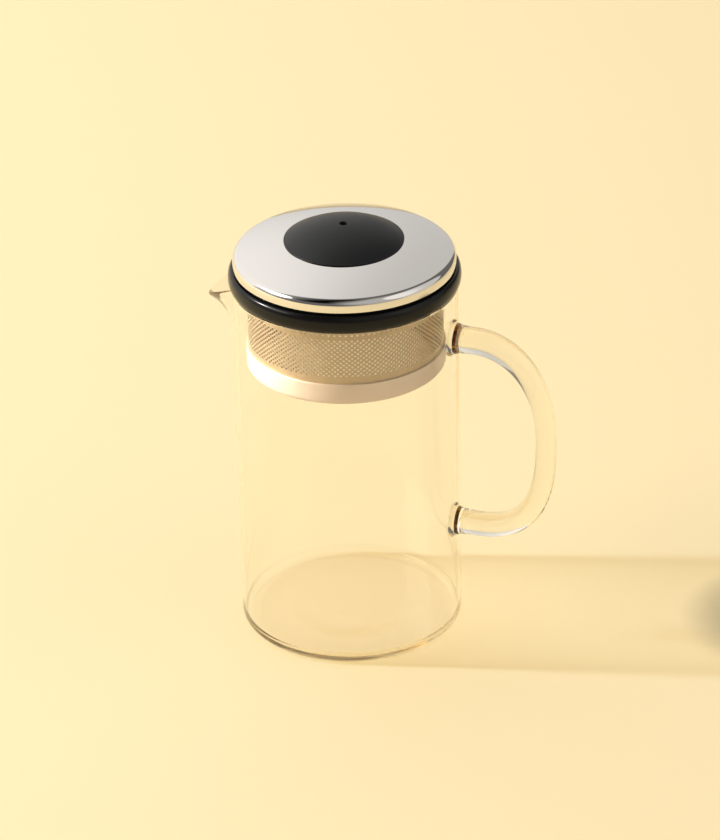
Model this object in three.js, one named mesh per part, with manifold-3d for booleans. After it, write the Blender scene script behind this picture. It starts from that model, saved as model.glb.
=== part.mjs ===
// A glass teapot: a straight glass jug with a pulled pouring lip and a rod handle, a perforated steel
// strainer hung in its mouth by a black collar, and a steel lid with a domed black knob.
// Millimetres, +Z up. The origin is the centre of the flat underside, the handle is on +X, the lip on -X.
import * as THREE from "three";
import { mergeVertices } from "three/addons/utils/BufferGeometryUtils.js";
import Module from "manifold-3d";

const wasm = await Module();
wasm.setup();

// ---- driving dimensions ----

const CLEARANCE = 0.3; // left between any two pieces that touch or fit together
const FACETS = 48; // round a full turn of a large piece
const SMALL_FACETS = 16; // round a full turn of a screw, boss or hole
const ARC_STEPS = 3; // in a rounded corner
const CROWN_STEPS = 2; // across the shallow crown of the cap, from the knob's edge to the vent
const DOME_STEPS = 6; // across the knob's dome

const jug = {
  radius: 42.5,
  wall: 1.3,
  height: 142.4,
  floor: 2.2,
  outerHeel: 3.6,
  innerHeel: 3.2,
};

const lip = {
  reach: 55, // tip's distance from the pot's axis
  tipHeight: 130.5,
  start: 116, // height at which the wall begins to lean out
  tipSlope: THREE.MathUtils.degToRad(30), // above level, at the tip
  halfAngle: THREE.MathUtils.degToRad(27), // of the mouth that the lip takes up, on each side
  nose: 0.12, // roundness of the tip, as a share of the half angle
  sharpness: 1.2, // over 1 makes the flanks hollow
  rows: 6,
};

const handle = {
  upperHeight: 125.2,
  lowerHeight: 46.9,
  reach: 79, // from the pot's axis to the rod's centreline
  bowStart: 50.5, // the rod is straight from the wall out to here
  upperSquareness: 2.2, // exponents of the bow's two quarter superellipses
  lowerSquareness: 2.6,
  upperRod: 5.2, // the rod's radius at its top, middle and bottom
  middleRod: 3.9,
  lowerRod: 4.8,
  flare: 2.6, // added to the radius where the rod is fused on
  flareLength: 1.7,
  sides: 12,
  bowSteps: 24,
  rootSteps: 4,
};

const collar = {
  beadRadius: 42.2, // to the middle of the bead's section
  beadDepth: 1.6, // how far the bead bulges from there
  beadHeight: 6.7,
  wellRadius: 41,
  wellDepth: 2.4, // the flange and the lid sit down into the collar by this much
  skirt: 1.3, // wall of the skirt inside the glass
  skirtDrop: 1.7, // below the bead
  gasketGroove: 1.1, // up into the bead's underside
  gasketChamfer: 0.7, // leads the gasket into the glass
};

const sleeve = {
  radius: 36.9,
  sheet: 0.5,
  bottom: 112.8,
  flangeRadius: 40.6,
};

const pan = {
  bottom: 110,
  height: 8.6,
  corner: 2,
  sheet: 0.5,
};

const cap = {
  radius: 42,
  skirtBottom: 150.4,
  skirtHeight: 2.4,
  shoulder: 3,
  crownRadius: 130,
  sheet: 0.6,
};

const liner = {
  thickness: 1.8,
  plugRadius: 35.4,
  plugWall: 2.2,
  plugBottom: 142.5,
  grooveBottom: 143.5,
  grooveHeight: 3,
  grooveDepth: 0.8,
};

const knob = {
  radius: 22.6,
  edge: 0.3, // upright edge below the dome
  top: 166.8,
  shell: 1.8, // thickness of the dome
  foot: 3.6, // width of the ring that stands on the cap
  ventRadius: 1.45,
  ventTube: 3,
  ventBottom: 156.6,
  bossRadius: 2.8,
  pilotTop: 163.4,
};

const screw = {
  count: 3,
  circle: 11, // radius of the circle that the screws stand on
  shank: 1.4,
  head: 2.75,
  headHeight: 2,
  seat: 158.2, // height of the underside of the head's rim, against the liner
  end: 163,
};

// ---- dimensions that follow ----

const jugBore = jug.radius - jug.wall;
const collarBottom = jug.height + CLEARANCE;
const collarTop = collarBottom + collar.beadHeight;
const ledge = collarTop - collar.wellDepth;
const collarBore = sleeve.radius + CLEARANCE;
const gasketBore = collarBore + collar.skirt + CLEARANCE;
const flangeBottom = ledge + CLEARANCE;
const flangeTop = flangeBottom + sleeve.sheet;
const sleeveBore = sleeve.radius - sleeve.sheet;
const linerSeat = flangeTop + CLEARANCE;
const screwClearance = screw.shank + CLEARANCE;
const ventClearance = knob.ventTube + CLEARANCE;

// The crown is a shallow ball cap that runs into the shoulder's arc without a corner.
const shoulderRadius = cap.radius - cap.shoulder;
const shoulderHeight = cap.skirtBottom + cap.skirtHeight;
const crownAngle = Math.acos(shoulderRadius / (cap.crownRadius - cap.shoulder));
const crownCentre = shoulderHeight - (cap.crownRadius - cap.shoulder) * Math.sin(crownAngle);

const knobBase = ballHeight(crownCentre, cap.crownRadius, knob.radius) + CLEARANCE;
const domeRise = knob.top - knobBase - knob.edge;
const domeRadius = (knob.radius ** 2 + domeRise ** 2) / (2 * domeRise);
const domeCentre = knob.top - domeRadius;

// ---- materials ----

const glass = new THREE.MeshStandardMaterial({
  color: 0xf2f4ee,
  roughness: 0.03,
  metalness: 0,
  transparent: true,
  opacity: 0.3,
});
const polishedSteel = new THREE.MeshStandardMaterial({ color: 0xd9d6d1, roughness: 0.08, metalness: 1 });
const brushedSteel = new THREE.MeshStandardMaterial({ color: 0xc4ab93, roughness: 0.32, metalness: 1 });
const screwSteel = new THREE.MeshStandardMaterial({ color: 0xb4b4b2, roughness: 0.25, metalness: 1 });
const glossBlack = new THREE.MeshStandardMaterial({ color: 0x0b0b0c, roughness: 0.12, metalness: 0 });
const satinBlack = new THREE.MeshStandardMaterial({ color: 0x1d1e20, roughness: 0.45, metalness: 0 });
const silicone = new THREE.MeshStandardMaterial({ color: 0x141414, roughness: 0.6, metalness: 0 });

// ---- shape helpers ----

// Height of a ball's surface at a distance from the vertical axis through its centre.
function ballHeight(centre, radius, distance) {
  return centre + Math.sqrt(radius ** 2 - distance ** 2);
}

// Points on a ball cap's outline, from one distance from the axis to another.
function ballOutline(centre, radius, from, to, steps) {
  return Array.from({ length: steps + 1 }, (_, i) => {
    const distance = from + ((to - from) * i) / steps;
    return [distance, ballHeight(centre, radius, distance)];
  });
}

// Points on an arc; angles are in radians from +radius, anticlockwise. An arc may be stretched in height.
function arc(centreRadius, centreHeight, radius, from, to, steps = ARC_STEPS, heightRadius = radius) {
  return Array.from({ length: steps + 1 }, (_, i) => {
    const angle = from + ((to - from) * i) / steps;
    return [centreRadius + radius * Math.cos(angle), centreHeight + heightRadius * Math.sin(angle)];
  });
}

// A turned solid about Z. The outline is [radius, height] points, anticlockwise, closed on itself or
// on the axis.
function turned(outline, facets = FACETS) {
  const points = outline.map(([radius, height]) => new THREE.Vector2(radius, height));
  const onAxis = points[0].x === 0;
  if (!onAxis) points.push(points[0].clone());
  return new THREE.LatheGeometry(points, facets).rotateX(Math.PI / 2);
}

// An upright cylinder, from one height to another.
function post(radius, bottom, top, x = 0, y = 0, facets = SMALL_FACETS) {
  const geometry = new THREE.CylinderGeometry(radius, radius, top - bottom, facets).rotateX(Math.PI / 2);
  return geometry.translate(x, y, (bottom + top) / 2);
}

function toSolid(geometry) {
  const bare = geometry.clone();
  bare.deleteAttribute("normal");
  bare.deleteAttribute("uv");
  const merged = mergeVertices(bare, 1e-4);
  return new wasm.Manifold(
    new wasm.Mesh({
      numProp: 3,
      vertProperties: merged.attributes.position.array,
      triVerts: new Uint32Array(merged.index.array),
    }),
  );
}

function toGeometry(solid) {
  const mesh = solid.getMesh();
  const geometry = new THREE.BufferGeometry();
  geometry.setAttribute("position", new THREE.BufferAttribute(mesh.vertProperties, 3));
  geometry.setIndex(new THREE.BufferAttribute(mesh.triVerts, 1));
  geometry.computeVertexNormals();
  return geometry;
}

function cut(geometry, ...cutters) {
  return toGeometry(cutters.reduce((solid, cutter) => solid.subtract(toSolid(cutter)), toSolid(geometry)));
}

// Where each screw stands, as [x, y].
function screwPlaces() {
  return Array.from({ length: screw.count }, (_, i) => {
    const angle = (2 * Math.PI * i) / screw.count;
    return [screw.circle * Math.cos(angle), screw.circle * Math.sin(angle)];
  });
}

function screwHoles(radius, bottom, top) {
  return screwPlaces().map(([x, y]) => post(radius, bottom, top, x, y));
}

// ---- glass jug ----

function jugOutline() {
  const rim = jug.wall / 2;
  const straightTop = jug.height - rim;
  const rows = Array.from({ length: lip.rows }, (_, i) => {
    return lip.start + ((straightTop - lip.start) * i) / (lip.rows - 1);
  });
  return [
    [0, 0],
    ...arc(jug.radius - jug.outerHeel, jug.outerHeel, jug.outerHeel, -Math.PI / 2, 0),
    ...rows.map((height) => [jug.radius, height]),
    ...arc(jug.radius - rim, straightTop, rim, 0, Math.PI).slice(1, -1),
    ...rows.reverse().map((height) => [jugBore, height]),
    ...arc(jugBore - jug.innerHeel, jug.floor + jug.innerHeel, jug.innerHeel, 0, -Math.PI / 2),
    [0, jug.floor],
  ];
}

// How much of the lip's full shape the wall takes at an angle from the lip's middle, from 1 there to 0
// at its sides.
function lipShare(angle) {
  const round = (share) => Math.sqrt(share ** 2 + lip.nose ** 2) - lip.nose;
  const across = round(Math.abs(angle) / lip.halfAngle) / round(1);
  return across < 1 ? (1 - across) ** lip.sharpness : 0;
}

// The wall's outline along the middle of the lip: a quadratic curve that leaves the wall upright and
// ends at the tip. Gives the point and its direction at a share of the way along.
function lipOutline(share) {
  const bend = lip.tipHeight - (lip.reach - jug.radius) * Math.tan(lip.tipSlope);
  const start = new THREE.Vector2(jug.radius, lip.start);
  const corner = new THREE.Vector2(jug.radius, bend);
  const tip = new THREE.Vector2(lip.reach, lip.tipHeight);
  const first = start.clone().lerp(corner, share);
  const second = corner.clone().lerp(tip, share);
  return { point: first.clone().lerp(second, share), along: second.sub(first).normalize() };
}

// Leans the jug's wall out into the pouring lip, keeping its thickness.
function pullLip(geometry) {
  const position = geometry.attributes.position;
  for (let i = 0; i < position.count; i += 1) {
    const x = position.getX(i);
    const y = position.getY(i);
    const z = position.getZ(i);
    const share = (z - lip.start) / (jug.height - lip.start);
    const amount = lipShare(Math.atan2(y, -x));
    if (share <= 0 || amount === 0) continue;
    const radius = Math.hypot(x, y);
    const { point, along } = lipOutline(share);
    const depth = jug.radius - radius;
    const newRadius = THREE.MathUtils.lerp(radius, point.x - along.y * depth, amount);
    const newHeight = THREE.MathUtils.lerp(z, point.y + along.x * depth, amount);
    position.setXYZ(i, (x / radius) * newRadius, (y / radius) * newRadius, newHeight);
  }
  return geometry;
}

// ---- glass handle ----

// The rod's centreline from the upper root round the bow to the lower one, as [distance, height, radius].
function handleStations() {
  const middle = (handle.upperHeight + handle.lowerHeight) / 2;
  const halfHeight = (handle.upperHeight - handle.lowerHeight) / 2;
  const bowReach = handle.reach - handle.bowStart;
  const stations = [];
  const add = (distance, height) => {
    const end = height > middle ? handle.upperRod : handle.lowerRod;
    const rod = THREE.MathUtils.lerp(handle.middleRod, end, ((height - middle) / halfHeight) ** 2);
    const flare = handle.flare * Math.exp((jug.radius - distance) / handle.flareLength);
    stations.push([distance, height, rod + Math.min(flare, handle.flare)]);
  };
  const root = (step) => jug.radius + ((handle.bowStart - jug.radius) * (step - 1)) / handle.rootSteps;
  for (let step = 0; step <= handle.rootSteps; step += 1) add(root(step), handle.upperHeight);
  for (let step = 0; step <= handle.bowSteps; step += 1) {
    const angle = Math.PI * (0.5 - step / handle.bowSteps);
    const power = 2 / (angle > 0 ? handle.upperSquareness : handle.lowerSquareness);
    const height = middle + Math.sign(angle) * halfHeight * Math.abs(Math.sin(angle)) ** power;
    add(handle.bowStart + bowReach * Math.abs(Math.cos(angle)) ** power, height);
  }
  for (let step = handle.rootSteps; step >= 0; step -= 1) add(root(step), handle.lowerHeight);
  return stations;
}

// A closed round rod in the XZ plane through the stations.
function rodGeometry(stations) {
  const sides = handle.sides;
  const vertices = [];
  const faces = [];
  stations.forEach(([distance, height, radius], i) => {
    const before = stations[Math.max(i - 1, 0)];
    const after = stations[Math.min(i + 1, stations.length - 1)];
    const along = new THREE.Vector2(after[0] - before[0], after[1] - before[1]).normalize();
    for (let side = 0; side < sides; side += 1) {
      const angle = (2 * Math.PI * side) / sides;
      const across = radius * Math.cos(angle);
      vertices.push(distance - along.y * across, radius * Math.sin(angle), height + along.x * across);
      if (i === 0) continue;
      const here = i * sides + side;
      const next = i * sides + ((side + 1) % sides);
      faces.push(here, next, here - sides, next, next - sides, here - sides);
    }
  });
  const last = (stations.length - 1) * sides;
  for (let side = 1; side < sides - 1; side += 1) {
    faces.push(0, side, side + 1);
    faces.push(last, last + side + 1, last + side);
  }
  const geometry = new THREE.BufferGeometry();
  geometry.setAttribute("position", new THREE.Float32BufferAttribute(vertices, 3));
  geometry.setIndex(faces);
  return geometry;
}

function handleGeometry() {
  const wall = post(jug.radius + CLEARANCE, 0, jug.height, 0, 0, FACETS);
  return cut(rodGeometry(handleStations().filter(spreadOut)), wall);
}

// Leaves out a station that lies on the one before it, where the straight root meets the bow.
function spreadOut([distance, height], i, stations) {
  if (i === 0) return true;
  return Math.hypot(distance - stations[i - 1][0], height - stations[i - 1][1]) > CLEARANCE;
}

// ---- strainer ----

function gasketOutline() {
  const bottom = collarBottom - collar.skirtDrop - CLEARANCE / 2;
  const top = collarBottom + collar.gasketGroove - CLEARANCE;
  const outer = jugBore - CLEARANCE;
  return [
    [gasketBore, bottom],
    [outer - collar.gasketChamfer, bottom],
    [outer, bottom + collar.gasketChamfer],
    [outer, top],
    [gasketBore, top],
  ];
}

function collarOutline() {
  const skirtRadius = collarBore + collar.skirt;
  const skirtBottom = collarBottom - collar.skirtDrop;
  const grooveTop = collarBottom + collar.gasketGroove;
  const halfHeight = collar.beadHeight / 2;
  const bead = arc(
    collar.beadRadius,
    collarBottom + halfHeight,
    collar.beadDepth,
    -Math.PI / 2,
    Math.PI / 2,
    2 * ARC_STEPS,
    halfHeight,
  );
  return [
    [collarBore, skirtBottom],
    [skirtRadius, skirtBottom],
    [skirtRadius, grooveTop],
    [jugBore, grooveTop],
    [jugBore, collarBottom],
    ...bead,
    [collar.wellRadius, collarTop],
    [collar.wellRadius, ledge],
    [collarBore, ledge],
  ];
}

function sleeveOutline() {
  return [
    [sleeveBore, sleeve.bottom],
    [sleeve.radius, sleeve.bottom],
    [sleeve.radius, flangeBottom],
    [sleeve.flangeRadius, flangeBottom],
    [sleeve.flangeRadius, flangeTop],
    [sleeveBore + sleeve.sheet, flangeTop],
    [sleeveBore, flangeBottom],
  ];
}

function panOutline() {
  const bore = sleeve.radius + CLEARANCE;
  const radius = bore + pan.sheet;
  const corner = radius - pan.corner;
  const floor = pan.bottom + pan.corner;
  return [
    [0, pan.bottom],
    ...arc(corner, floor, pan.corner, -Math.PI / 2, 0),
    [radius, pan.bottom + pan.height],
    [bore, pan.bottom + pan.height],
    ...arc(corner, floor, pan.corner - pan.sheet, 0, -Math.PI / 2),
    [0, pan.bottom + pan.sheet],
  ];
}

// ---- lid ----

function capGeometry() {
  const inner = cap.shoulder - cap.sheet;
  const underside = cap.crownRadius - cap.sheet;
  const outline = [
    [cap.radius, cap.skirtBottom],
    ...arc(shoulderRadius, shoulderHeight, cap.shoulder, 0, crownAngle),
    ...ballOutline(crownCentre, cap.crownRadius, knob.radius, ventClearance, CROWN_STEPS),
    ...ballOutline(crownCentre, underside, ventClearance, knob.radius, CROWN_STEPS),
    ...arc(shoulderRadius, shoulderHeight, inner, crownAngle, 0),
    [cap.radius - cap.sheet, cap.skirtBottom],
  ];
  return cut(turned(outline), ...screwHoles(screwClearance, cap.skirtBottom, knob.top));
}

function linerGeometry() {
  const upper = cap.crownRadius - cap.sheet - CLEARANCE;
  const lower = upper - liner.thickness;
  const side = collar.wellRadius - CLEARANCE;
  const shoulder = cap.shoulder - cap.sheet - CLEARANCE;
  const plugBore = liner.plugRadius - liner.plugWall;
  const grooveRadius = liner.plugRadius - liner.grooveDepth;
  const grooveTop = liner.grooveBottom + liner.grooveHeight;
  const outline = [
    ...ballOutline(crownCentre, lower, ventClearance, plugBore, CROWN_STEPS),
    [plugBore, liner.plugBottom],
    [liner.plugRadius, liner.plugBottom],
    [liner.plugRadius, liner.grooveBottom],
    [grooveRadius, liner.grooveBottom],
    [grooveRadius, grooveTop],
    [liner.plugRadius, grooveTop],
    [liner.plugRadius, linerSeat],
    [side, linerSeat],
    ...arc(side - shoulder, shoulderHeight, shoulder, 0, crownAngle),
    ...ballOutline(crownCentre, upper, knob.radius, ventClearance, CROWN_STEPS),
  ];
  return cut(turned(outline), ...screwHoles(screwClearance, screw.seat, knob.top));
}

function lidGasketOutline() {
  const inner = liner.plugRadius - liner.grooveDepth + CLEARANCE;
  const outer = sleeveBore - CLEARANCE;
  const bottom = liner.grooveBottom + CLEARANCE;
  const top = liner.grooveBottom + liner.grooveHeight - CLEARANCE;
  return [
    [inner, bottom],
    ...arc((inner + outer) / 2, (bottom + top) / 2, (outer - inner) / 2, -Math.PI / 4, Math.PI / 4),
    [inner, top],
  ];
}

function knobGeometry() {
  const footBore = knob.radius - knob.foot;
  const underDome = domeRadius - knob.shell;
  const outline = [
    [knob.radius, knobBase],
    ...ballOutline(domeCentre, domeRadius, knob.radius, knob.ventRadius, DOME_STEPS),
    [knob.ventRadius, knob.ventBottom],
    [knob.ventTube, knob.ventBottom],
    ...ballOutline(domeCentre, underDome, knob.ventTube, footBore, DOME_STEPS),
    [footBore, ballHeight(crownCentre, cap.crownRadius, footBore) + CLEARANCE],
  ];
  // A boss ends inside the shell: above the shell's underside and below its top.
  const underside = ballHeight(domeCentre, underDome, screw.circle - knob.bossRadius);
  const outside = ballHeight(domeCentre, domeRadius, screw.circle + knob.bossRadius);
  const bossTop = (underside + outside) / 2;
  const bossBottom = ballHeight(crownCentre, cap.crownRadius, screw.circle) + 2 * CLEARANCE;
  let solid = toSolid(turned(outline));
  for (const boss of screwHoles(knob.bossRadius, bossBottom, bossTop)) solid = solid.add(toSolid(boss));
  for (const pilot of screwHoles(screwClearance, knobBase, knob.pilotTop)) {
    solid = solid.subtract(toSolid(pilot));
  }
  return toGeometry(solid);
}

function screwGeometry() {
  const headBottom = screw.seat - screw.headHeight;
  const edge = screw.headHeight / 2;
  return turned(
    [
      [0, headBottom],
      ...arc(screw.head - edge, headBottom + edge, edge, -Math.PI / 2, 0),
      [screw.head, screw.seat],
      [screw.shank, screw.seat],
      [screw.shank, screw.end - screw.shank / 2],
      [screw.shank / 2, screw.end],
      [0, screw.end],
    ],
    SMALL_FACETS,
  );
}

// ---- assembly ----

function piece(name, geometry, material) {
  const mesh = new THREE.Mesh(geometry, material);
  mesh.name = name;
  return mesh;
}

const pot = new THREE.Group();
pot.add(piece("glass_body", pullLip(turned(jugOutline())), glass));
pot.add(piece("glass_handle", handleGeometry(), glass));

const strainer = new THREE.Group();
strainer.add(piece("rim_gasket", turned(gasketOutline()), silicone));
strainer.add(piece("strainer_collar", turned(collarOutline()), glossBlack));
strainer.add(piece("strainer_sleeve", turned(sleeveOutline()), brushedSteel));
strainer.add(piece("strainer_pan", turned(panOutline()), brushedSteel));

const lid = new THREE.Group();
lid.add(piece("lid_gasket", turned(lidGasketOutline()), silicone));
lid.add(piece("lid_liner", linerGeometry(), satinBlack));
lid.add(piece("lid_cap", capGeometry(), polishedSteel));
lid.add(piece("lid_knob", knobGeometry(), satinBlack));
screwPlaces().forEach(([x, y], i) => {
  const mesh = piece(`lid_screw_${i + 1}`, screwGeometry(), screwSteel);
  mesh.position.set(x, y, 0);
  lid.add(mesh);
});

const teapot = new THREE.Group();
teapot.add(pot, strainer, lid);

export default teapot;
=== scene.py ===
"""Finished looks for a glass teapot with a hanging strainer and a steel lid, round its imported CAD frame.

Outlines are in millimetres and are scaled to metres as each mesh is made. Each part's outermost sizes come
from the frame, and its other sizes are named below. The handle is on +X, the pouring lip on -X, and +Z is up.
"""

import math
from types import SimpleNamespace

import bpy
import numpy as np
from mathutils import Matrix, Vector


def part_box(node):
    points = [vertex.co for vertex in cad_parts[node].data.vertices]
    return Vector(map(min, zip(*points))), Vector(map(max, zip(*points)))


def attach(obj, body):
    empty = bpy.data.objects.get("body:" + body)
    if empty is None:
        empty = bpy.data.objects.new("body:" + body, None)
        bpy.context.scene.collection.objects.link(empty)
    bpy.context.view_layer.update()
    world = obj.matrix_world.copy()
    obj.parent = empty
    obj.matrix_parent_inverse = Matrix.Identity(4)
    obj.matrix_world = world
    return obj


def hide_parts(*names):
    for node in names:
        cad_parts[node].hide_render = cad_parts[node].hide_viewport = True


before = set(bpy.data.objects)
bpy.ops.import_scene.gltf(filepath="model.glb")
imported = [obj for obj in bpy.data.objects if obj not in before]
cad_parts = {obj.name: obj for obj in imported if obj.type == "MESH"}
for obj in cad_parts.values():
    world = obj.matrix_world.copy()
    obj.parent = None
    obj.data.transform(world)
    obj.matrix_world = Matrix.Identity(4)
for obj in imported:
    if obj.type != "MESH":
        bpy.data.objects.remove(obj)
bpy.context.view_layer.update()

# ---- sizes ----

MM = 0.001
TURN = 192  # segments round a turned piece
GLASS_TURN = 288
FINE_TURN = 256
SMALL_TURN = 32
ARC = 8  # steps in a rounded corner
SHARP = 35  # degrees; an edge that turns by more stays sharp
GLASS_SHARP = 60
SEAT = 0.05  # mm left between pieces that rest on each other
GAP = 0.3  # mm left between pieces that stand apart
SOFT = 0.2  # mm of rounding on a small edge
ON_AXIS = 1e-9  # a radius below this is on the axis
WELD_DIGITS = 4  # corners whose places agree to this many decimals become one vertex


def span(node):
    """A turned CAD part's greatest radius, lowest and highest point, in mm."""
    low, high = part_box(node)
    return SimpleNamespace(radius=high.y / MM, bottom=low.z / MM, top=high.z / MM)


jug = span("glass_body")
jug.wall = 1.3
jug.bore = jug.radius - jug.wall
jug.floor = 2.2
jug.outer_heel = 3.6
jug.inner_heel = 3.2
jug.outer_foot = 6  # height where the outer wall's rows start
jug.inner_foot = 7
jug.wall_rows = 23
jug.floor_edge = 2  # from the inner heel in to the floor's first ring
jug.floor_rings = 40
jug.dimple = 0.6  # how far the middle of the floor rises
jug.dimple_radius = 24
jug.dimple_flatness = 3

lip = SimpleNamespace(
    reach=-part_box("glass_body")[0].x / MM,
    tip_height=130.5,
    start=116,
    tip_slope=math.radians(30),
    half_angle=math.radians(27),
    nose=0.2,
    sharpness=1.2,
    bulb=0.75,  # how much thicker the melted edge is at the tip, as a share of the wall
    bulb_start=0.8,  # share of the way up the lip
    bulb_end=0.97,
    rows=36,
)

handle = SimpleNamespace(
    upper=125.2,
    lower=46.9,
    reach=79,
    bow_start=50.5,
    upper_squareness=2.2,  # 2 is an ellipse, and more is squarer
    lower_squareness=2.6,
    upper_rod=5.2,
    middle_rod=3.9,
    lower_rod=4.8,
    flare=2.0,
    flare_length=1.7,
    sides=40,
    bow_steps=110,
    root_steps=16,
    root_crowding=1.5,  # over 1 draws the root's steps towards the wall
    least_step=0.05,
)

collar = span("strainer_collar")
sleeve = span("strainer_sleeve")
pan = span("strainer_pan")
cap = span("lid_cap")
liner = span("lid_liner")
knob = span("lid_knob")
rim_gasket = span("rim_gasket")
lid_gasket = span("lid_gasket")
screw = span("lid_screw_1")

collar.well = 41.0  # radius of the hollow that takes the lid's edge
collar.bead = 1.6
collar.skirt_gap = 2.6  # between the skirt and the glass
collar.relief = 0.35  # cut from the ledge's edge, for the bend in the sleeve's flange

rim_gasket.width = 2.5
rim_gasket.lead = 0.6  # how far the lower edge is drawn in
rim_gasket.lead_height = 0.9
rim_gasket.lead_edge = 0.3

sleeve.flange = sleeve.radius
sleeve.sheet = 0.3
sleeve.radius = 36.9
sleeve.bore = sleeve.radius - sleeve.sheet
sleeve.holes = 108  # in one row
sleeve.rows = 17
sleeve.row_gap = 0.905
sleeve.first_row = 121.9
sleeve.hole_radius = 0.48
sleeve.hole_sides = 12
sleeve.top_row = 138.6  # a single row of holes above the others
sleeve.top_row_band = 0.7
sleeve.bend = 0.6  # inner radius of the bend into the flange

pan.corner = 2.0
pan.sheet = 0.4
pan.ledge = 33.5  # inner radius of the turned-in edge that carries the mesh floor
pan.mouth_edge = 0.2
pan.wire = 0.09  # radius
pan.wire_pitch = 0.8
pan.wire_rest = 1.0  # how far a wire reaches over the turned-in edge
pan.wire_sides = 6

cap.skirt_height = 2.4
cap.shoulder = 3.0
cap.crown_radius = 130
cap.sheet = 0.6
cap.hem = 0.28

liner.wall = 2.0
liner.side = 40.7
liner.side_edge = 0.3
liner.plug = 35.4
liner.plug_edge = 0.6
liner.plug_wall = 2.2
liner.groove_depth = 0.8  # of the groove for the lid's gasket
liner.groove_edge = 0.15
liner.crown_edge = 1  # from the cap's shoulder in to the liner's crown

lid_gasket.bulge = 0.7

knob.shell = 1.8
knob.foot = 3.6
knob.edge = 0.3
knob.vent = 1.45
knob.vent_tube = 3.0
knob.vent_edge = 0.35
knob.rounding = 0.14  # at the foot's outer edge
knob.dome_slope = 0.55  # radians from level, where that rounding meets the dome

screw.circle = 11
screw.head = 2.75
screw.head_height = 2.0
screw.head_edge = 0.9
screw.recess_length = 3.0
screw.recess_width = 0.55
screw.recess_depth = 1.1
screw.shank = 1.4
screw.count = 3


# ---- outlines ----


def arc(centre, radius, start, end, steps=ARC, height_radius=None):
    """Points on an arc, anticlockwise when end is over start; angles are in radians from +radius."""
    tall = radius if height_radius is None else height_radius
    angles = np.linspace(start, end, steps + 1)
    return [(centre[0] + radius * math.cos(a), centre[1] + tall * math.sin(a)) for a in angles]


def ball(centre, radius, start, end, steps=24):
    """Points on a ball centred on the axis, from one distance from the axis to another."""
    return [(r, ball_height(centre, radius, r)) for r in np.linspace(start, end, steps + 1)]


def ball_height(centre, radius, distance):
    return centre + math.sqrt(radius**2 - distance**2)


def rounded(corners, steps=4):
    """An outline through (radius, height) or (radius, height, rounding) corners, closed on itself."""
    points = []
    count = len(corners)
    for i, corner in enumerate(corners):
        here = Vector(corner[:2])
        if len(corner) < 3:
            points.append(tuple(here))
            continue
        before = Vector(corners[i - 1][:2]) - here
        after = Vector(corners[(i + 1) % count][:2]) - here
        half = before.angle(after) / 2
        back = corner[2] / math.tan(half)
        start = here + before.normalized() * back
        end = here + after.normalized() * back
        for share in np.linspace(0, 1, steps + 1):
            near = start.lerp(here, share)
            far = here.lerp(end, share)
            points.append(tuple(near.lerp(far, share)))
    return points


# ---- meshes ----


def mesh_object(name, vertices, faces, sharp=SHARP):
    """A new object from vertices in mm, smooth but for edges sharper than an angle in degrees."""
    mesh = bpy.data.meshes.new(name)
    mesh.from_pydata(np.asarray(vertices, float) * MM, [], faces)
    mesh.validate()
    piece = bpy.data.objects.new(name, mesh)
    bpy.context.scene.collection.objects.link(piece)
    smooth(piece, sharp)
    return piece


def smooth(piece, sharp=SHARP):
    piece.data.shade_smooth()
    piece.data.set_sharp_from_angle(angle=math.radians(sharp))


def turned(outline, segments=TURN):
    """Vertices and faces of a turned solid. The outline is anticlockwise, closed on itself or on the axis."""
    vertices = []
    faces = []
    rings = []
    angles = np.linspace(0, 2 * math.pi, segments, endpoint=False)
    for radius, height in outline:
        first = len(vertices)
        if radius < ON_AXIS:
            vertices.append((0, 0, height))
            rings.append([first] * segments)
        else:
            vertices += [(radius * math.cos(a), radius * math.sin(a), height) for a in angles]
            rings.append(list(range(first, first + segments)))
    on_axis = outline[0][0] < ON_AXIS
    pairs = zip(rings, rings[1:] if on_axis else rings[1:] + rings[:1])
    for lower, upper in pairs:
        for k in range(segments):
            n = (k + 1) % segments
            corners = [lower[k], lower[n], upper[n], upper[k]]
            faces.append(list(dict.fromkeys(corners)))
    return vertices, faces


def turned_object(name, outline, segments=TURN):
    return mesh_object(name, *turned(outline, segments))


def combine(piece, other, operation):
    """Joins or cuts a mesh object with another, which is used up."""
    modifier = piece.modifiers.new(operation, "BOOLEAN")
    modifier.operation = operation
    modifier.solver = "MANIFOLD"
    modifier.object = other
    graph = bpy.context.evaluated_depsgraph_get()
    made = bpy.data.meshes.new_from_object(piece.evaluated_get(graph))
    piece.modifiers.clear()
    piece.data = made
    bpy.data.objects.remove(other)
    smooth(piece)


def posts(places, radius, bottom, top, sides=SMALL_TURN):
    """One object of upright cylinders at (x, y) places."""
    vertices = []
    faces = []
    for x, y in places:
        post, post_faces = turned([(0, bottom), (radius, bottom), (radius, top), (0, top)], sides)
        faces += [[i + len(vertices) for i in face] for face in post_faces]
        vertices += [(x + px, y + py, pz) for px, py, pz in post]
    return mesh_object("posts", vertices, faces)


def screw_places():
    """Where the screws stand, spaced evenly round the vent."""
    turns = [2 * math.pi * i / screw.count for i in range(screw.count)]
    return [(screw.circle * math.cos(a), screw.circle * math.sin(a)) for a in turns]


# ---- glass ----


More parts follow.
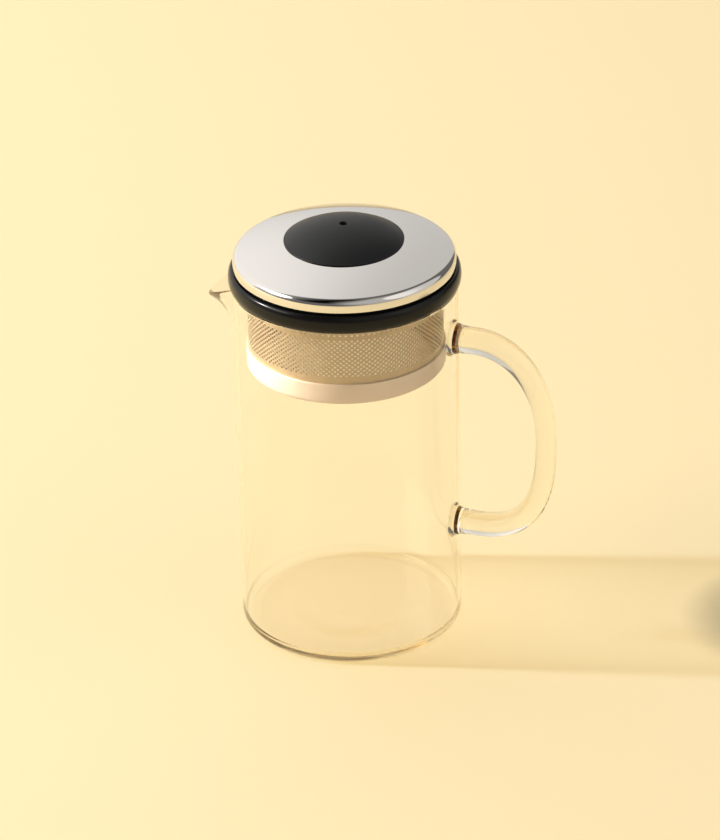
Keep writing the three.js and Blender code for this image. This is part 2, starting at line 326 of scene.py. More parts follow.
def jug_outline():
    """The jug's cross-section: out under the floor, up, over the rim, down and back in along the floor."""
    rim = jug.wall / 2
    straight_top = jug.top - rim
    rows = np.linspace(lip.start, straight_top, lip.rows)
    outer_rows = np.linspace(jug.outer_foot, lip.start, jug.wall_rows)[:-1]
    inner_rows = np.linspace(lip.start, jug.inner_foot, jug.wall_rows)[1:]
    outer_heel = arc((jug.radius - jug.outer_heel, jug.outer_heel), jug.outer_heel, -math.pi / 2, 0)
    inner_heel = arc((jug.bore - jug.inner_heel, jug.floor + jug.inner_heel), jug.inner_heel, 0, -math.pi / 2)
    rim_arc = arc((jug.radius - rim, straight_top), rim, 0, math.pi, steps=12)
    outline = [(0, 0)] + outer_heel
    outline += [(jug.radius, height) for height in outer_rows]
    outline += [(jug.radius, height) for height in rows]
    outline += rim_arc[1:-1]
    outline += [(jug.bore, height) for height in rows[::-1]]
    outline += [(jug.bore, height) for height in inner_rows]
    outline += inner_heel + dimple_outline()
    return outline


def dimple_outline():
    """The floor's inner face from its heel to the axis, with a faint rise in the middle."""
    points = []
    for radius in np.linspace(jug.bore - jug.inner_heel - jug.floor_edge, 0, jug.floor_rings):
        share = min(radius / jug.dimple_radius, 1)
        rise = jug.dimple * (0.5 + 0.5 * math.cos(math.pi * share**jug.dimple_flatness))
        points.append((radius, jug.floor + rise))
    return points


def lip_share(angles):
    """How much of the lip's full shape the wall takes at each angle from the lip's middle."""
    def blunt(share):
        return np.sqrt(share**2 + lip.nose**2) - lip.nose

    across = blunt(np.abs(angles) / lip.half_angle) / blunt(1)
    return np.clip(1 - across, 0, 1) ** lip.sharpness


def pull_lip(vertices):
    """Leans the top of the wall out into the pouring lip, keeping the wall's thickness."""
    x, y, z = np.array(vertices, float).T
    radius = np.hypot(x, y)
    share = np.clip((z - lip.start) / (jug.top - lip.start), 0, None)
    amount = np.where(share > 0, lip_share(np.arctan2(y, -x)), 0)
    bend = lip.tip_height - (lip.reach - jug.radius) * math.tan(lip.tip_slope)
    first = lip.start + (bend - lip.start) * share
    second = np.array([jug.radius + (lip.reach - jug.radius) * share, bend + (lip.tip_height - bend) * share])
    along = second - np.array([np.full_like(first, jug.radius), first])
    point = np.array([jug.radius + along[0] * share, first + along[1] * share])
    along /= np.linalg.norm(along, axis=0)
    melted = np.clip((share - lip.bulb_start) / (lip.bulb_end - lip.bulb_start), 0, 1)
    thicker = lip.bulb * amount * melted**2 * (3 - 2 * melted)
    depth = jug.radius - radius
    depth += (depth - jug.wall / 2) * thicker
    lip_radius = point[0] - along[1] * depth
    lip_height = point[1] + along[0] * depth
    scale = np.ones_like(radius)
    moved = amount > 0
    scale[moved] = (radius + (lip_radius - radius) * amount)[moved] / radius[moved]
    return np.array([x * scale, y * scale, z + (lip_height - z) * amount]).T


def handle_stations():
    """(distance from the axis, height, rod radius) along the rod, from its upper root to its lower one."""
    middle = (handle.upper + handle.lower) / 2
    half_height = (handle.upper - handle.lower) / 2
    inside_wall = jug.radius - jug.wall / 2

    def station(distance, height):
        end = handle.upper_rod if height > middle else handle.lower_rod
        rod = handle.middle_rod + (end - handle.middle_rod) * ((height - middle) / half_height) ** 2
        flare = handle.flare * math.exp(min(jug.radius - distance, 0) / handle.flare_length)
        return distance, height, rod + flare

    crowded = np.linspace(0, 1, handle.root_steps + 1)[:-1] ** handle.root_crowding
    root = inside_wall + (handle.bow_start - inside_wall) * crowded
    stations = [station(distance, handle.upper) for distance in root]
    for angle in np.linspace(math.pi / 2, -math.pi / 2, handle.bow_steps + 1):
        power = 2 / (handle.upper_squareness if angle > 0 else handle.lower_squareness)
        height = middle + math.copysign(half_height * abs(math.sin(angle)) ** power, angle)
        distance = handle.bow_start + (handle.reach - handle.bow_start) * max(math.cos(angle), 0) ** power
        stations.append(station(distance, height))
    stations += [station(distance, handle.lower) for distance in root[::-1]]
    return stations


def hug_wall(x, y):
    """Bends the rod's roots to the round wall: full at the wall, none where the bow starts."""
    away = np.clip((handle.bow_start - x) / (handle.bow_start - jug.radius), 0, 1)
    return x - away * (jug.radius - np.sqrt(jug.radius**2 - y**2))


def handle_mesh():
    """Rings of vertices round the rod at its stations, joined by faces and closed at both ends."""
    stations = np.array(handle_stations())
    steps = np.linalg.norm(np.diff(stations[:, :2], axis=0), axis=1)
    stations = stations[np.concatenate(([True], steps > handle.least_step))]
    along = np.gradient(stations[:, :2], axis=0)
    along /= np.linalg.norm(along, axis=1)[:, None]
    turn = np.linspace(0, 2 * math.pi, handle.sides, endpoint=False)
    across = stations[:, 2, None] * np.cos(turn)
    y = stations[:, 2, None] * np.sin(turn)
    x = hug_wall(stations[:, 0, None] - along[:, 1, None] * across, y)
    z = stations[:, 1, None] + along[:, 0, None] * across
    vertices = np.stack([x, y, z], -1).reshape(-1, 3)
    faces = []
    sides = handle.sides
    for i in range(1, len(stations)):
        for side in range(sides):
            here = i * sides + side
            following = i * sides + (side + 1) % sides
            faces.append([here, following, following - sides, here - sides])
    faces.append(list(range(sides)))
    faces.append(list(range(len(vertices) - 1, len(vertices) - sides - 1, -1)))
    return vertices, faces


def make_glass():
    """The jug and its handle are one piece of glass, so that light passes from one into the other."""
    vertices, faces = turned(jug_outline(), GLASS_TURN)
    pot = mesh_object("glass_pot", pull_lip(vertices), faces, sharp=GLASS_SHARP)
    rod = mesh_object("rod", *handle_mesh(), sharp=GLASS_SHARP)
    combine(pot, rod, "UNION")
    return pot


# ---- strainer ----


def round_sleeve(points, radius):
    """Flat (along the circumference, height) points, wrapped onto the sleeve at a radius."""
    return [
        (radius * math.cos(u / sleeve.radius), radius * math.sin(u / sleeve.radius), v)
        for u, v in points
    ]


def holed_cell(centre, corners):
    """Flat faces that fill a six-cornered cell round a hole, and the hole's own corners.

    The cell's corners run anticlockwise from the right.
    """
    sides = sleeve.hole_sides
    turns = [2 * math.pi * i / sides for i in range(sides)]
    radius = sleeve.hole_radius
    hole = [(centre[0] + radius * math.cos(a), centre[1] + radius * math.sin(a)) for a in turns]
    quarter = sides // 4
    meets = [0, quarter, quarter, 2 * quarter, 3 * quarter, 3 * quarter, sides]
    faces = []
    for i, corner in enumerate(corners):
        edge = [hole[k % sides] for k in range(meets[i + 1], meets[i] - 1, -1)]
        faces.append([corner, corners[(i + 1) % len(corners)], *edge])
    return faces, hole


def sleeve_cells():
    """All the flat faces of the holed band, and all its holes."""
    half_pitch = math.pi * sleeve.radius / sleeve.holes
    row_gap = sleeve.row_gap
    waist = (half_pitch**2 - row_gap**2) / (2 * half_pitch)
    side = (half_pitch**2 + row_gap**2) / (2 * half_pitch)
    band = sleeve.top_row_band
    top_line = sleeve.first_row + sleeve.rows * row_gap
    faces = []
    holes = []

    def cell(u, v, reach, tall):
        corners = [(reach, 0), (waist, tall), (-waist, tall), (-reach, 0), (-waist, -tall), (waist, -tall)]
        made, hole = holed_cell((u, v), [(u + a, v + b) for a, b in corners])
        faces.extend(made)
        holes.append(hole)

    for i in range(sleeve.holes):
        u = 2 * half_pitch * i
        for row in range(sleeve.rows):
            cell(u + half_pitch * (row % 2), sleeve.first_row + row * row_gap, side, row_gap)
        cell(u, sleeve.top_row, half_pitch, band)
        right = u + 2 * half_pitch
        bottom = sleeve.first_row
        low = bottom - row_gap
        faces.append([(u + waist, low), (right - waist, low), (right - side, bottom), (u + side, bottom)])
        top = top_line - row_gap
        faces.append([(u + side, top), (right - side, top), (right - waist, top_line), (u + waist, top_line)])
        middle = (u + half_pitch, sleeve.top_row)
        faces.append([(u + waist, sleeve.top_row - band), (right - waist, sleeve.top_row - band), middle])
        faces.append([middle, (right - waist, sleeve.top_row + band), (u + waist, sleeve.top_row + band)])
    return faces, holes, waist, half_pitch


def make_sleeve():
    """The strainer's wall, with every hole cut right through the sheet."""
    cells, holes, waist, half_pitch = sleeve_cells()
    faces = [round_sleeve(face, sleeve.radius) for face in cells]
    faces += [round_sleeve(face, sleeve.bore)[::-1] for face in cells]
    for hole in holes:
        outer = round_sleeve(hole, sleeve.radius)
        inner = round_sleeve(hole, sleeve.bore)
        for k in range(len(hole)):
            faces.append([outer[k], outer[k - 1], inner[k - 1], inner[k]])
    low = sleeve.first_row - sleeve.row_gap
    top_line = sleeve.first_row + sleeve.rows * sleeve.row_gap
    bands = [
        [
            (sleeve.bore, low),
            (sleeve.bore, sleeve.bottom),
            (sleeve.radius, sleeve.bottom),
            (sleeve.radius, low),
        ],
        [(sleeve.radius, top_line), (sleeve.radius, sleeve.top_row - sleeve.top_row_band)],
        [(sleeve.bore, sleeve.top_row - sleeve.top_row_band), (sleeve.bore, top_line)],
        flange_outline(sleeve.top_row + sleeve.top_row_band),
    ]
    angles = [
        (2 * half_pitch * i + way * waist) / sleeve.radius
        for i in range(sleeve.holes)
        for way in (-1, 1)
    ]
    for band in bands:
        for lower, upper in zip(band, band[1:]):
            for k, angle in enumerate(angles):
                following = angles[(k + 1) % len(angles)]
                ends = [(lower, angle), (lower, following), (upper, following), (upper, angle)]
                faces.append([(r * math.cos(a), r * math.sin(a), z) for (r, z), a in ends])
    return mesh_object("strainer_wall", *weld(faces))


def flange_outline(start):
    """The plain top of the sheet: up outside, out round the flange's edge, and back down inside."""
    under = sleeve.top - sleeve.sheet
    half = sleeve.sheet / 2
    bend_centre = (sleeve.radius + sleeve.bend, under - sleeve.bend)
    outer = arc(bend_centre, sleeve.bend, math.pi, math.pi / 2)
    inner = arc(bend_centre, sleeve.bend + sleeve.sheet, math.pi / 2, math.pi)
    edge = arc((sleeve.flange - half, under + half), half, -math.pi / 2, math.pi / 2)
    return [(sleeve.radius, start), *outer, *edge, *inner, (sleeve.bore, start)]


def weld(faces):
    """Vertices and index faces from faces given by their corners."""
    places = {}
    indexed = []
    for face in faces:
        keys = [tuple(round(c, WELD_DIGITS) for c in corner) for corner in face]
        indexed.append([places.setdefault(key, len(places)) for key in keys])
    return list(places), indexed


def make_pan():
    """The drawn ring that closes the strainer, with a turned-in edge that carries the mesh floor."""
    corner = pan.radius - pan.corner
    floor = pan.bottom + pan.corner
    bore = sleeve.radius + SEAT
    lead = pan.mouth_edge
    outline = arc((corner, floor), pan.corner, -math.pi / 2, 0)
    outline += arc((pan.radius - lead, pan.top - lead), lead, 0, math.pi / 2, steps=4)
    outline += [(bore, pan.top), (bore, floor)]
    outline += arc((corner, floor), bore - corner, 0, -math.pi / 2)[1:]
    half = pan.sheet / 2
    outline += arc((pan.ledge, pan.bottom + half), half, math.pi / 2, 3 * math.pi / 2, steps=6)
    return turned_object("strainer_pan_ring", outline)


def make_mesh_floor():
    """Two layers of straight wires, one across the other, resting on the pan's turned-in edge."""
    vertices = []
    faces = []
    reach = pan.ledge + pan.wire_rest
    sides = pan.wire_sides
    outermost = int(reach / pan.wire_pitch)
    for k in range(-outermost, outermost + 1):
        offset = k * pan.wire_pitch
        half = math.sqrt(reach**2 - offset**2)
        for layer in (0, 1):
            height = pan.bottom + pan.sheet + pan.wire * (1 + 2 * layer)
            first = len(vertices)
            for end in (-half, half):
                for side in range(sides):
                    angle = 2 * math.pi * side / sides
                    across = offset + pan.wire * math.cos(angle)
                    up = height + pan.wire * math.sin(angle)
                    vertices.append((end, across, up) if layer else (across, -end, up))
            near = [first + side for side in range(sides)]
            far = [vertex + sides for vertex in near]
            for side in range(sides):
                n = (side + 1) % sides
                faces.append([near[side], near[n], far[n], far[side]])
            faces.append(near[::-1])
            faces.append(far)
    return mesh_object("strainer_mesh_floor", vertices, faces)


def collar_outline():
    """The ring's cross-section: the bead over the rim, the well for the lid and the skirt in the glass."""
    groove = rim_gasket.top + GAP
    bottom = jug.top + SEAT
    ledge = sleeve.top - sleeve.sheet - SEAT
    skirt = jug.bore - collar.skirt_gap
    bore = sleeve.radius + GAP
    bead_start = collar.radius - collar.bead
    bead_middle = (bottom + collar.top) / 2
    bead_height = (collar.top - bottom) / 2
    bead = arc((bead_start, bead_middle), collar.bead, -math.pi / 2, math.pi / 2, 24, bead_height)
    inner = rounded(
        [
            (bead_start, collar.top),
            (collar.well, collar.top, 2 * SOFT),
            (collar.well, ledge),
            (bore + collar.relief, ledge),
            (bore, ledge - 2 * collar.relief),
            (bore, collar.bottom, SOFT),
            (skirt, collar.bottom, SOFT),
            (skirt, groove),
            (jug.bore, groove),
            (jug.bore, bottom),
            (bead_start, bottom),
        ]
    )
    return bead + inner[1:-1]


def make_rim_gasket():
    inner = jug.bore - rim_gasket.width
    corners = [
        (inner, rim_gasket.bottom, SOFT),
        (rim_gasket.radius - rim_gasket.lead, rim_gasket.bottom, rim_gasket.lead_edge),
        (rim_gasket.radius, rim_gasket.bottom + rim_gasket.lead_height, SOFT),
        (rim_gasket.radius, rim_gasket.top, SOFT),
        (inner, rim_gasket.top, SOFT),
    ]
    return turned_object("rim_gasket_ring", rounded(corners))


# ---- lid ----


shoulder_radius = cap.radius - cap.shoulder
shoulder_height = cap.bottom + cap.skirt_height
crown_angle = math.acos(shoulder_radius / (cap.crown_radius - cap.shoulder))
crown_centre = shoulder_height - (cap.crown_radius - cap.shoulder) * math.sin(crown_angle)


def make_cap():
    hem = cap.hem
    hole = knob.vent_tube + GAP
    inner_corner = cap.shoulder - cap.sheet
    outline = arc((cap.radius - hem, cap.bottom + hem), hem, -math.pi / 2, 0, steps=6)
    outline += arc((shoulder_radius, shoulder_height), cap.shoulder, 0, crown_angle, steps=24)
    outline += ball(crown_centre, cap.crown_radius, shoulder_radius, hole)[1:]
    outline += ball(crown_centre, cap.crown_radius - cap.sheet, hole, shoulder_radius)
    outline += arc((shoulder_radius, shoulder_height), inner_corner, crown_angle, 0, steps=12)
    outline += [(cap.radius - cap.sheet, cap.bottom + hem)]
    piece = turned_object("lid_cap_shell", outline, FINE_TURN)
    combine(piece, posts(screw_places(), screw.shank + GAP, cap.bottom, knob.top), "DIFFERENCE")
    return piece


def make_liner():
    upper = cap.crown_radius - cap.sheet - SEAT
    lower = upper - liner.wall
    seat = sleeve.top + SEAT
    plug_bore = liner.plug - liner.plug_wall
    groove = liner.plug - liner.groove_depth
    groove_bottom = lid_gasket.bottom - GAP
    groove_top = lid_gasket.top + GAP
    shoulder = cap.shoulder - cap.sheet - GAP
    hole = knob.vent_tube + GAP
    outline = ball(crown_centre, lower, hole, plug_bore, steps=16)
    outline += rounded(
        [
            (plug_bore, lid_gasket.top),
            (plug_bore, liner.bottom, 2 * SOFT),
            (liner.plug, liner.bottom, liner.plug_edge),
            (liner.plug, groove_bottom, liner.groove_edge),
            (groove, groove_bottom),
            (groove, groove_top),
            (liner.plug, groove_top, liner.groove_edge),
            (liner.plug, seat),
            (liner.side, seat, liner.side_edge),
            (liner.side, shoulder_height),
        ]
    )[1:]
    outline += arc((liner.side - shoulder, shoulder_height), shoulder, 0, crown_angle, steps=6)[1:]
    outline += ball(crown_centre, upper, shoulder_radius - liner.crown_edge, hole, steps=16)
    piece = turned_object("lid_liner_moulding", outline)
    combine(piece, posts(screw_places(), screw.shank + GAP, liner.bottom, knob.top), "DIFFERENCE")
    return piece


def make_lid_gasket():
    inner = liner.plug - liner.groove_depth + SEAT
    middle = (lid_gasket.bottom + lid_gasket.top) / 2
    half_height = (lid_gasket.top - lid_gasket.bottom) / 2
    bulge = lid_gasket.bulge
    outline = [(inner, lid_gasket.bottom)]
    outline += arc((lid_gasket.radius - bulge, middle), bulge, -math.pi / 2, math.pi / 2, 12, half_height)
    outline += [(inner, lid_gasket.top)]
    return turned_object("lid_gasket_ring", outline)


def make_knob():
    base = ball_height(crown_centre, cap.crown_radius, knob.radius) + SEAT
    soft = knob.rounding
    rise = knob.top - base - knob.edge
    dome = (knob.radius**2 + rise**2) / (2 * rise)
    centre = knob.top - dome
    foot_bore = knob.radius - knob.foot
    vent_edge = knob.vent_edge
    outline = arc((knob.radius - soft, base + soft), soft, -math.pi / 2, 0, steps=6)
    outline += arc((knob.radius - soft, base + knob.edge), soft, 0, math.pi / 2 - knob.dome_slope, steps=6)
    outline += ball(centre, dome, knob.radius - soft, knob.vent + vent_edge, steps=48)[1:]
    vent_top = ball_height(centre, dome, knob.vent + vent_edge)
    vent_centre = (knob.vent + vent_edge, vent_top - vent_edge)
    outline += arc(vent_centre, vent_edge, math.pi / 2, math.pi, steps=6)[1:]
    outline += [(knob.vent, knob.bottom), (knob.vent_tube, knob.bottom)]
    outline += ball(centre, dome - knob.shell, knob.vent_tube, foot_bore, steps=24)
    outline += [(foot_bore, ball_height(crown_centre, cap.crown_radius, foot_bore) + SEAT)]
    return turned_object("lid_knob_dome", outline, FINE_TURN)


def make_screw(place, number):
    """A pan-head screw, seen from below, with a cross recess."""
    edge = screw.head_edge
    outline = [(0, screw.bottom)]
    outline += arc((screw.head - edge, screw.bottom + edge), edge, -math.pi / 2, 0, steps=6)
    outline += [
        (screw.head, screw.bottom + screw.head_height),
        (screw.shank, screw.bottom + screw.head_height),
        (screw.shank, screw.top - screw.shank),
        (0, screw.top),
    ]
    piece = turned_object(f"screw_{number}", outline, SMALL_TURN)
    arm = (screw.recess_length, screw.recess_width)
    depth = screw.recess_depth
    for length, width in (arm, arm[::-1]):
        corners = [(x, y, z) for x in (-1, 1) for y in (-1, 1) for z in (-1, 1)]
        box = [(x * length / 2, y * width / 2, screw.bottom + z * depth) for x, y, z in corners]
        sides = [(0, 1, 3, 2), (4, 6, 7, 5), (0, 4, 5, 1), (2, 3, 7, 6), (0, 2, 6, 4), (1, 5, 7, 3)]
        combine(piece, mesh_object("recess", box, sides), "DIFFERENCE")
    piece.location = (place[0] * MM, place[1] * MM, 0)
    return piece


# ---- materials ----


def material(name):
    """A new node material, with its Principled shader and its output."""
    made = bpy.data.materials.new(name)
    made.use_nodes = True
    nodes = made.node_tree.nodes
    return made, nodes["Principled BSDF"], nodes["Material Output"]


def node(made, kind, **inputs):
    """Adds a node, with inputs set by name; an underscore stands for a space."""
    added = made.node_tree.nodes.new(kind)
    for key, value in inputs.items():
        added.inputs[key.replace("_", " ")].default_value = value
    return added


def link(made, source, target):
    made.node_tree.links.new(source, target)


def object_place(made, stretch):
    """The piece's own coordinates, stretched per axis."""
    coordinates = node(made, "ShaderNodeTexCoord")
    mapping = node(made, "ShaderNodeMapping", Scale=stretch)
    link(made, coordinates.outputs["Object"], mapping.inputs["Vector"])
    return mapping.outputs["Vector"]


def turned_place(made, round_scale, radius_scale, height_scale):
    """Coordinates that run round the pot's axis, so that streaks follow a lathe's marks."""
    coordinates = node(made, "ShaderNodeTexCoord")
    split = node(made, "ShaderNodeSeparateXYZ")
    link(made, coordinates.outputs["Object"], split.inputs["Vector"])
    distance = node(made, "ShaderNodeVectorMath")
    distance.operation = "LENGTH"
    flat = node(made, "ShaderNodeVectorMath")
    flat.operation = "MULTIPLY"
    flat.inputs[1].default_value = (1, 1, 0)
    link(made, coordinates.outputs["Object"], flat.inputs[0])
    link(made, flat.outputs["Vector"], distance.inputs[0])
    joined = node(made, "ShaderNodeCombineXYZ")
    around = node(made, "ShaderNodeVectorMath")
    around.operation = "NORMALIZE"
    link(made, flat.outputs["Vector"], around.inputs[0])
    scaled = node(made, "ShaderNodeVectorMath")
    scaled.operation = "SCALE"
    scaled.inputs["Scale"].default_value = round_scale
    link(made, around.outputs["Vector"], scaled.inputs[0])
    radial = node(made, "ShaderNodeMath")
    radial.operation = "MULTIPLY"
    radial.inputs[1].default_value = radius_scale
    link(made, distance.outputs["Value"], radial.inputs[0])
    upright = node(made, "ShaderNodeMath")
    upright.operation = "MULTIPLY"
    upright.inputs[1].default_value = height_scale
    link(made, split.outputs["Z"], upright.inputs[0])
    total = node(made, "ShaderNodeMath")
    total.operation = "ADD"
    link(made, radial.outputs["Value"], total.inputs[0])
    link(made, upright.outputs["Value"], total.inputs[1])
    link(made, total.outputs["Value"], joined.inputs["Z"])
    place = node(made, "ShaderNodeVectorMath")
    place.operation = "ADD"
    link(made, scaled.outputs["Vector"], place.inputs[0])
    link(made, joined.outputs["Vector"], place.inputs[1])
    return place.outputs["Vector"]


def noise(made, place, scale, detail=2.0, rough=0.5):
    texture = node(made, "ShaderNodeTexNoise", Scale=scale, Detail=detail, Roughness=rough)
    link(made, place, texture.inputs["Vector"])
    return texture.outputs["Fac"]


def spread(made, source, low, high, into):
    """Maps a 0 to 1 texture onto low to high and feeds it to a socket."""
    mapped = node(made, "ShaderNodeMapRange")
    mapped.inputs["To Min"].default_value = low
    mapped.inputs["To Max"].default_value = high
    link(made, source, mapped.inputs["Value"])
    link(made, mapped.outputs["Result"], into)


def bump(made, source, distance, shader, strength=1.0):
    added = node(made, "ShaderNodeBump", Strength=strength, Distance=distance)
    link(made, source, added.inputs["Height"])
    link(made, added.outputs["Normal"], shader.inputs["Normal"])


def clear_glass():
    """Faintly golden glass with a slight unevenness that runs up the wall."""
    made, shader, output = material("clear_glass")
    shader.inputs["Base Color"].default_value = (0.995, 0.993, 0.98, 1)
    shader.inputs["Roughness"].default_value = 0.0
    shader.inputs["IOR"].default_value = 1.47
    shader.inputs["Transmission Weight"].default_value = 1.0
    streaks = noise(made, object_place(made, (60, 60, 6)), scale=1.0, detail=1.0)
    bump(made, streaks, 0.00012, shader)
    depth = node(made, "ShaderNodeVolumeAbsorption", Color=(0.96, 0.82, 0.45, 1), Density=22)
    link(made, depth.outputs["Volume"], output.inputs["Volume"])
    # Shadow rays, and rays that leave matt surfaces, go straight through, dimmed where they graze the wall.
    facing = node(made, "ShaderNodeLayerWeight", Blend=0.25)
    dim = node(made, "ShaderNodeMix")
    dim.data_type = "RGBA"
    dim.inputs["A"].default_value = (1, 0.995, 0.985, 1)
    dim.inputs["B"].default_value = (0.84, 0.79, 0.65, 1)
    link(made, facing.outputs["Facing"], dim.inputs["Factor"])
    through = node(made, "ShaderNodeBsdfTransparent")
    link(made, dim.outputs["Result"], through.inputs["Color"])
    path = node(made, "ShaderNodeLightPath")
    unseen = node(made, "ShaderNodeMath")
    unseen.operation = "MAXIMUM"
    link(made, path.outputs["Is Shadow Ray"], unseen.inputs[0])
    link(made, path.outputs["Is Diffuse Ray"], unseen.inputs[1])
    mix = node(made, "ShaderNodeMixShader")
    link(made, unseen.outputs["Value"], mix.inputs["Fac"])
    link(made, shader.outputs["BSDF"], mix.inputs[1])
    link(made, through.outputs["BSDF"], mix.inputs[2])
    link(made, mix.outputs["Shader"], output.inputs["Surface"])
    return made


def polished_steel():
    """Bright steel with fine marks round the axis and a few broad smears."""
    made, shader, _ = material("polished_steel")
    shader.inputs["Base Color"].default_value = (0.82, 0.79, 0.76, 1)
    shader.inputs["Metallic"].default_value = 1.0
    marks = noise(made, turned_place(made, 1.5, 2600, 2600), scale=1.0, detail=3.0, rough=0.6)
    smears = noise(made, object_place(made, (1, 1, 1)), scale=45, detail=3.0)
    both = node(made, "ShaderNodeMath")
    both.operation = "MULTIPLY"
    link(made, marks, both.inputs[0])
    link(made, smears, both.inputs[1])
    spread(made, both.outputs["Value"], 0.03, 0.17, shader.inputs["Roughness"])
    bump(made, marks, 0.0000008, shader)
    return made


def strainer_steel(name, colour, low, high, mark_height):
    """Dull steel whose shine is drawn out by marks round the axis; roughness goes from low to high."""
    made, shader, _ = material(name)
    shader.inputs["Metallic"].default_value = 1.0
    # The colour passed in carries a painted reflection of warm surroundings on top of the steel's own tone.
    shader.inputs["Base Color"].default_value = colour
    marks = noise(made, turned_place(made, 0.12, 1500, 1500), scale=1.0, detail=3.0, rough=0.6)
    spread(made, marks, low, high, shader.inputs["Roughness"])
    bump(made, marks, mark_height, shader)
    around = node(made, "ShaderNodeTangent")
    around.direction_type = "RADIAL"
    around.axis = "Z"
    link(made, around.outputs["Tangent"], shader.inputs["Tangent"])
    shader.inputs["Anisotropic"].default_value = 0.4
    shader.inputs["Anisotropic Rotation"].default_value = 0.25
    return made


def screw_steel():
    made, shader, _ = material("screw_steel")
    shader.inputs["Metallic"].default_value = 1.0
    shader.inputs["Base Color"].default_value = (0.6, 0.6, 0.59, 1)
    grain = noise(made, object_place(made, (1, 1, 1)), scale=1500, detail=3.0)
    spread(made, grain, 0.2, 0.4, shader.inputs["Roughness"])
    bump(made, grain, 0.000004, shader)
    return made


def black_plastic(name, colour, low, high, grain_scale, grain_height):
    """Moulded plastic or rubber with a fine grain; roughness goes from low to high in patches."""
    made, shader, _ = material(name)
    shader.inputs["Base Color"].default_value = colour
    shader.inputs["Specular IOR Level"].default_value = 0.25
    grain = noise(made, object_place(made, (1, 1, 1)), scale=grain_scale)
    wear = noise(made, object_place(made, (1, 1, 1)), scale=90, detail=4.0)
    spread(made, wear, low, high, shader.inputs["Roughness"])
    bump(made, grain, grain_height, shader)
    return made


# ---- assembly ----


def dress(piece, body, made, slot, *nodes):
    """Gives a piece its material, and lets it ride on a body in place of CAD nodes; the slot is not used."""
    piece.data.materials.clear()
    piece.data.materials.append(made)
    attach(piece, body)
    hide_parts(*nodes)


def build_object():
    """Every visible piece with its material, on the body that carries it."""
    gloss_black = black_plastic("gloss_black", (0.004, 0.004, 0.004, 1), 0.16, 0.26, 260, 0.000006)
    satin_black = black_plastic("satin_black", (0.011, 0.0113, 0.012, 1), 0.36, 0.48, 3200, 0.000012)
    silicone = black_plastic("silicone", (0.012, 0.012, 0.012, 1), 0.5, 0.7, 1800, 0.00001)
    # Painted reflection: the holed sheet's golden tan stands in for warm surroundings mirrored in its steel.
    sheet = strainer_steel("perforated_steel", (0.6, 0.47, 0.32, 1), 0.44, 0.54, 0.000001)
    # The pan's steel has its own light tone plus a warm cast that is painted reflection of warm surroundings.
    steel = strainer_steel("strainer_steel", (0.95, 0.81, 0.7, 1), 0.58, 0.74, 0.000004)
    polished = polished_steel()
    fastener = screw_steel()
    dress(make_glass(), "pot", clear_glass(), "clear_glass", "glass_body", "glass_handle")
    dress(make_rim_gasket(), "gasket", silicone, "silicone", "rim_gasket")
    ring = turned_object("collar_ring", collar_outline(), FINE_TURN)
    dress(ring, "strainer", gloss_black, "gloss_black", "strainer_collar")
    dress(make_sleeve(), "strainer", sheet, "strainer_steel", "strainer_sleeve")
    dress(make_pan(), "strainer", steel, "strainer_steel", "strainer_pan")
    dress(make_mesh_floor(), "strainer", steel, "strainer_steel", "strainer_pan")
    dress(make_lid_gasket(), "lid_seal", silicone, "silicone", "lid_gasket")
    dress(make_liner(), "lid", satin_black, "satin_black", "lid_liner")
    dress(make_cap(), "lid", polished, "polished_steel", "lid_cap")
    dress(make_knob(), "lid", satin_black, "satin_black", "lid_knob")
    for i, place in enumerate(screw_places(), 1):
        dress(make_screw(place, i), "lid", fastener, "screw_steel", f"lid_screw_{i}")


# ---- studio ----


def sky_point(azimuth, elevation, distance, target=(0, 0, 0)):
    """A point round a target: azimuth 0 is on the -Y side, in degrees."""
    a = math.radians(azimuth)
    e = math.radians(elevation)
    way = Vector((math.sin(a) * math.cos(e), -math.cos(a) * math.cos(e), math.sin(e)))
    return Vector(target) + way * distance


def make_camera():
    """A long lens from above the front, a little towards the handle."""
    target = Vector((0.00427, 0.00156, 0.0831))
    roll = math.radians(-1.25)
    focal_over_height = 5.6738095
    data = bpy.data.cameras.new("camera")
    data.lens = data.sensor_width * focal_over_height
    data.clip_start = 0.05
    data.clip_end = 50
    camera = bpy.data.objects.new("camera", data)
    camera.location = sky_point(azimuth=20.0, elevation=28.61, distance=1.8156, target=target)
    look = (target - camera.location).to_track_quat("-Z", "Y").to_matrix().to_4x4()
    camera.rotation_euler = (look @ Matrix.Rotation(roll, 4, "Z")).to_euler()
    bpy.context.scene.collection.objects.link(camera)
    bpy.context.scene.camera = camera


def key_light():
    """One soft-edged lamp from the left, low enough to throw the shadow past the handle."""
    data = bpy.data.lights.new("key", "SPOT")
    data.energy = 330
    data.color = (1.0, 0.97, 0.92)
    data.shadow_soft_size = 0.08
    data.spot_size = math.radians(100)
    data.spot_blend = 1.0
    lamp = bpy.data.objects.new("key", data)
    aim = Vector((-0.03, -0.02, 0.03))
    lamp.location = sky_point(azimuth=285, elevation=34, distance=3, target=aim)
    lamp.rotation_euler = (aim - lamp.location).to_track_quat("-Z", "Y").to_euler()
    bpy.context.scene.collection.objects.link(lamp)


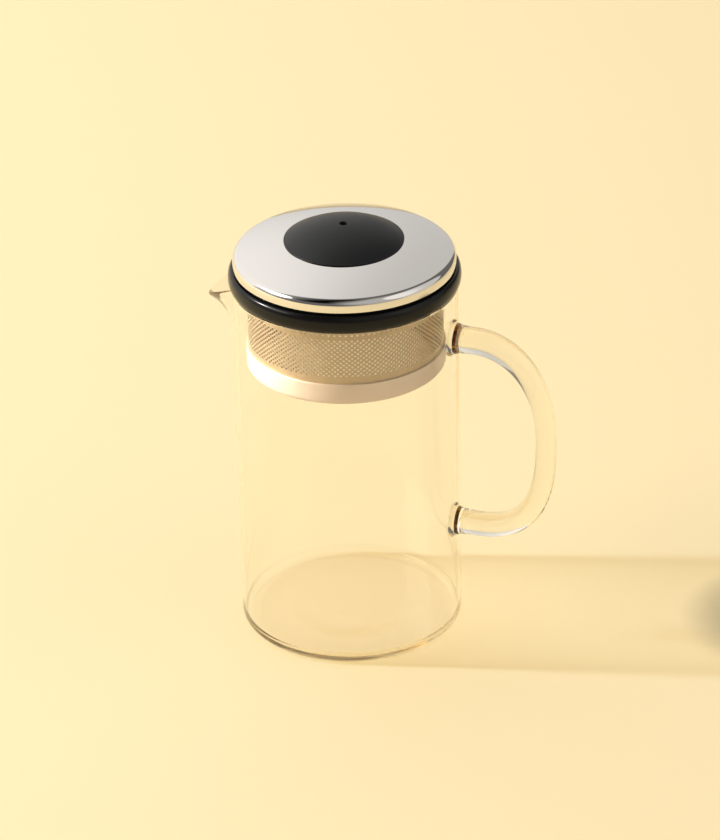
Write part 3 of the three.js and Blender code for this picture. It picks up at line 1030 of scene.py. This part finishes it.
def make_floor():
    """A wide warm cream floor, just under the pot."""
    reach = 4000
    height = -0.2
    sides = ((-1, -1), (1, -1), (1, 1), (-1, 1))
    corners = [(x * reach, y * reach, height) for x, y in sides]
    floor = mesh_object("floor", corners, [(0, 1, 2, 3)])
    made, shader, _ = material("pale_floor")
    shader.inputs["Base Color"].default_value = (0.95, 0.78, 0.46, 1)
    shader.inputs["Roughness"].default_value = 0.8
    floor.data.materials.append(made)


SURROUND = 0.15
GLOWS = (  # azimuth, elevation, full within, none beyond (degrees), strength
    (225, 18, 54, 58, 0.48),
    (258, 20, 5, 75, 0.46),
    (302, 34, 13, 15, 3.2),
    (100, 28, 30, 34, 0.5),
    (60, 35, 15, 50, 0.35),
    (340, 62, 20, 38, -0.15),  # a dark patch, for the band in the cap's shoulder
)


def make_world():
    """Soft studio light: a dim surround with broad glows that fade to nothing at their edges."""
    world = bpy.data.worlds.new("studio")
    bpy.context.scene.world = world
    world.use_nodes = True
    nodes = world.node_tree.nodes
    links = world.node_tree.links
    coordinates = nodes.new("ShaderNodeTexCoord")
    total = None
    for azimuth, elevation, inner, outer, strength in GLOWS:
        facing = nodes.new("ShaderNodeVectorMath")
        facing.operation = "DOT_PRODUCT"
        facing.inputs[1].default_value = sky_point(azimuth, elevation, 1)
        links.new(coordinates.outputs["Generated"], facing.inputs[0])
        glow = nodes.new("ShaderNodeMapRange")
        glow.interpolation_type = "SMOOTHERSTEP"
        glow.inputs["From Min"].default_value = math.cos(math.radians(outer))
        glow.inputs["From Max"].default_value = math.cos(math.radians(inner))
        glow.inputs["To Max"].default_value = strength
        links.new(facing.outputs["Value"], glow.inputs["Value"])
        added = nodes.new("ShaderNodeMath")
        added.inputs[1].default_value = SURROUND
        links.new(glow.outputs["Result"], added.inputs[0])
        if total:
            links.new(total, added.inputs[1])
        total = added.outputs["Value"]
    background = nodes["Background"]
    background.inputs["Color"].default_value = (1, 0.98, 0.95, 1)
    links.new(total, background.inputs["Strength"])


BOUNCES = 96  # light that is trapped where the handle meets the wall needs many


def make_studio():
    make_camera()
    make_floor()
    make_world()
    key_light()
    scene = bpy.context.scene
    scene.view_settings.view_transform = "Standard"
    scene.cycles.max_bounces = BOUNCES
    scene.cycles.glossy_bounces = BOUNCES
    scene.cycles.transmission_bounces = BOUNCES
    scene.cycles.caustics_refractive = False  # the glass lets shadow and diffuse rays through instead


build_object()
make_studio()
